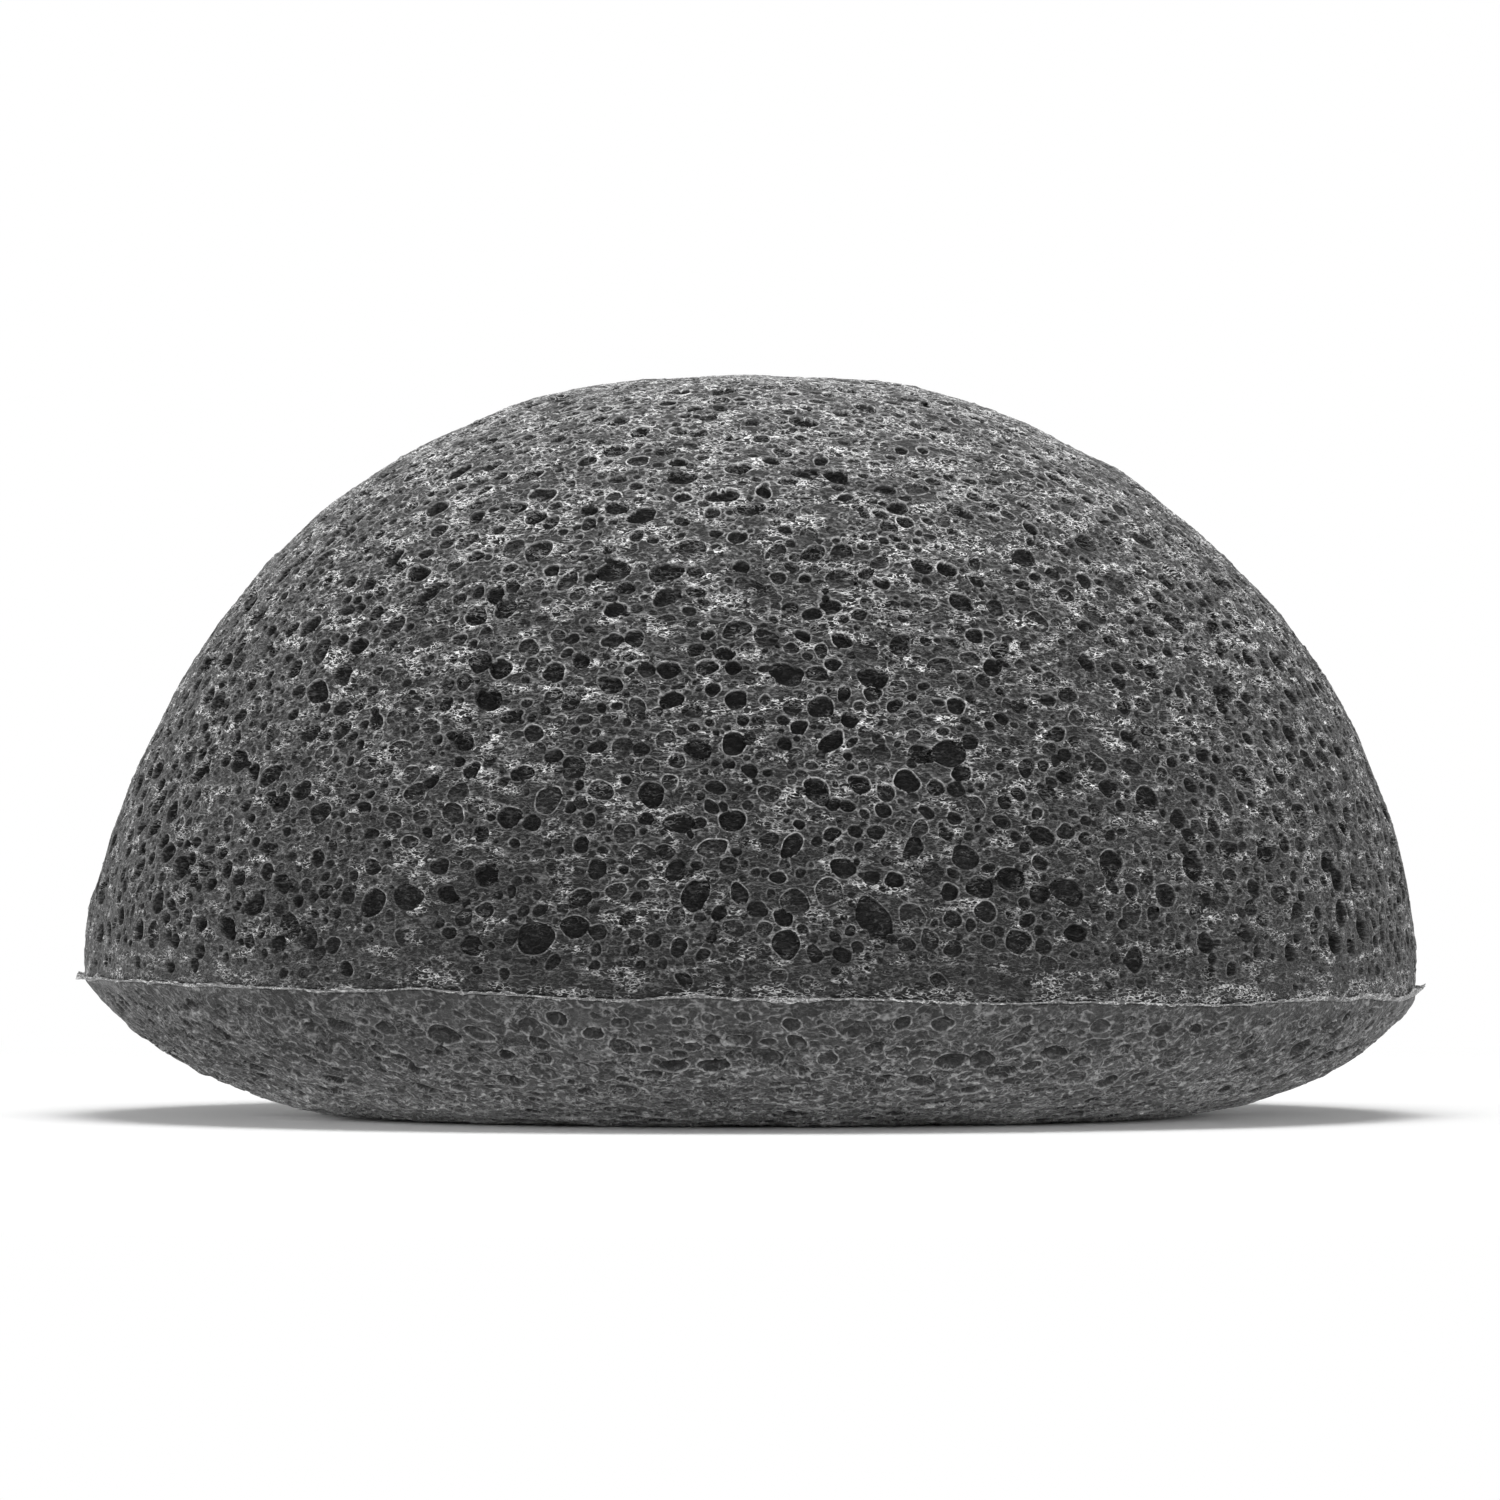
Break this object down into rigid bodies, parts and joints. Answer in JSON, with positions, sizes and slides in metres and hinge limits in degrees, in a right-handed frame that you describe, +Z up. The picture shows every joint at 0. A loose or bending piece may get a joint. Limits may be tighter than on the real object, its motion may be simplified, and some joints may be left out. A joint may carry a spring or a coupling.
{
  "type": "konjac sponge",
  "caption": "Half-ball facial sponge of open-celled charcoal-grey konjac foam, domed on top, gently convex underneath, with a thin moulding flash round the rim.",
  "frame": {"origin": "centre of the flat disc that the sponge stands on", "axes": "+Z up along the dome's axis; the sponge is round about it, with +X to the right and +Y away in the picture's view"},
  "size_m": [0.0812, 0.0812, 0.0446],
  "materials": {
    "dome_foam": "moist open-celled konjac foam, charcoal grey, with dark round pores and fine bright glints on the pore rims",
    "core_foam": "the same foam inside, even and matt",
    "base_foam": "smoother streaky skin of the same foam, with sparse drawn-out pores",
    "flash_film": "thin pale-edged film of the same foam, ragged and slightly glossy"
  },
  "bodies": {
    "base": {"base_pad": "base_foam"},
    "dome": {"dome_skin": "dome_foam", "foam_core": "core_foam", "rim_flash": "flash_film"}
  },
  "joints": [
    {"name": "press", "type": "slide", "parent": "base", "child": "dome", "axis": [0, 0, -1], "range_m": [0, 0.005], "stiffness_N_per_m": 600, "springref_m": -0.002, "deforming": ["base_pad"]}
  ]
}
